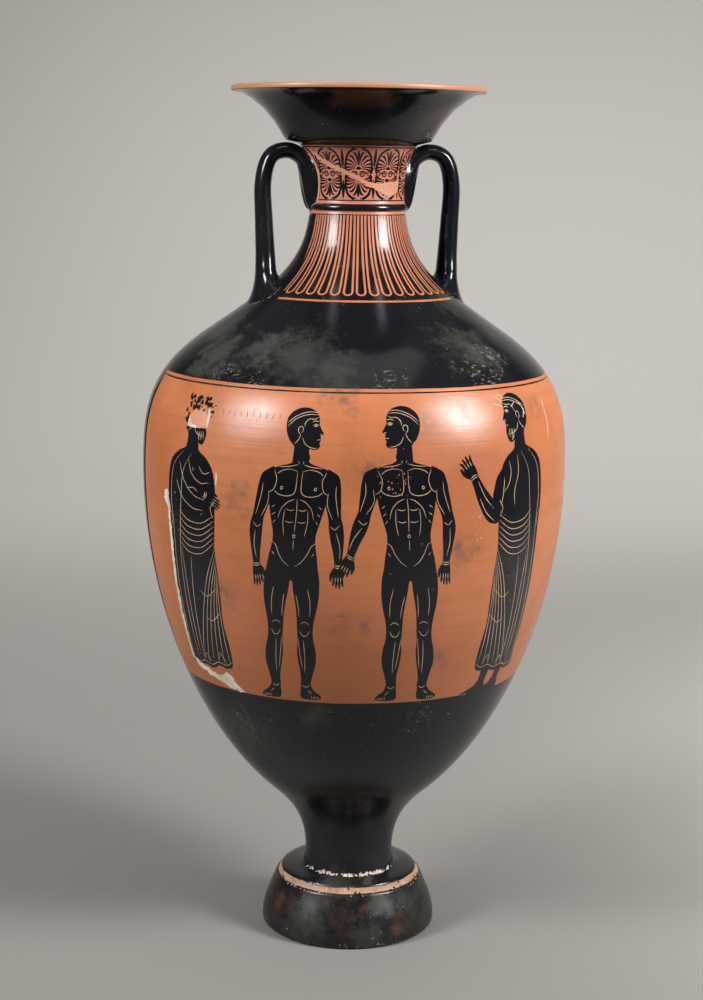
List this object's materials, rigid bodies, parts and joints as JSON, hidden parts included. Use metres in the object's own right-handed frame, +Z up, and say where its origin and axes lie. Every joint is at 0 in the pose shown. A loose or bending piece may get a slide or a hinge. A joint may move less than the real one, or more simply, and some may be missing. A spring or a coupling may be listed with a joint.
{
  "type": "panathenaic amphora",
  "caption": "Tall slim storage jar of black-painted red clay with upright handles, flaring mouth, tongue collar, figured panel and stepped foot; hollow, stands on its foot ring.",
  "frame": {"origin": "middle of the resting ring, on the surface that the jar stands on", "axes": "+Z up along the pot's axis, handles along X, pictured side facing -Y"},
  "size_m": [0.3916, 0.3916, 0.79],
  "materials": {
    "painted_clay": "glossy black slip over orange-red clay, worn and mended in places"
  },
  "bodies": {
    "root": {"amphora": "painted_clay"}
  },
  "joints": []
}
